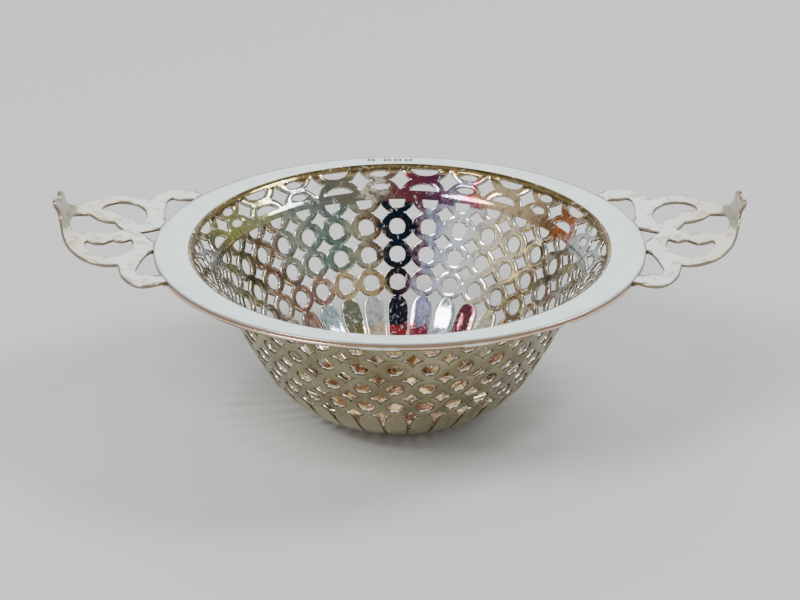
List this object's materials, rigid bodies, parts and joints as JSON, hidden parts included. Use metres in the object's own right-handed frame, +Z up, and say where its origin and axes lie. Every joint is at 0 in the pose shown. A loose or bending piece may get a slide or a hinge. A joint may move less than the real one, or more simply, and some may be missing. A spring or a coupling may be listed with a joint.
{
  "type": "tea strainer",
  "caption": "Silver tea strainer with a pierced hemispherical bowl, a wide oval flange that sits on a cup, and a pierced scroll handle on each side.",
  "frame": {"origin": "middle of the underside of the bowl's flat base, which is the lowest plane of the part", "axes": "+Z up through the bowl's mouth, X along the line of the two handles, Y across them"},
  "size_m": [0.126, 0.0836, 0.0397],
  "materials": {
    "sheet_silver": "polished silver inside, satin silver outside",
    "wire_silver": "polished silver",
    "handle_silver": "polished silver with soft wear",
    "solder_silver": "satin silver solder"
  },
  "bodies": {
    "root": {"pierced_bowl": "sheet_silver", "rim_wire": "wire_silver", "left_handle": "handle_silver", "right_handle": "handle_silver", "left_back_lobe_solder": "solder_silver", "left_back_neck_solder": "solder_silver", "left_front_neck_solder": "solder_silver", "left_front_lobe_solder": "solder_silver", "right_back_lobe_solder": "solder_silver", "right_back_neck_solder": "solder_silver", "right_front_neck_solder": "solder_silver", "right_front_lobe_solder": "solder_silver"}
  },
  "joints": []
}
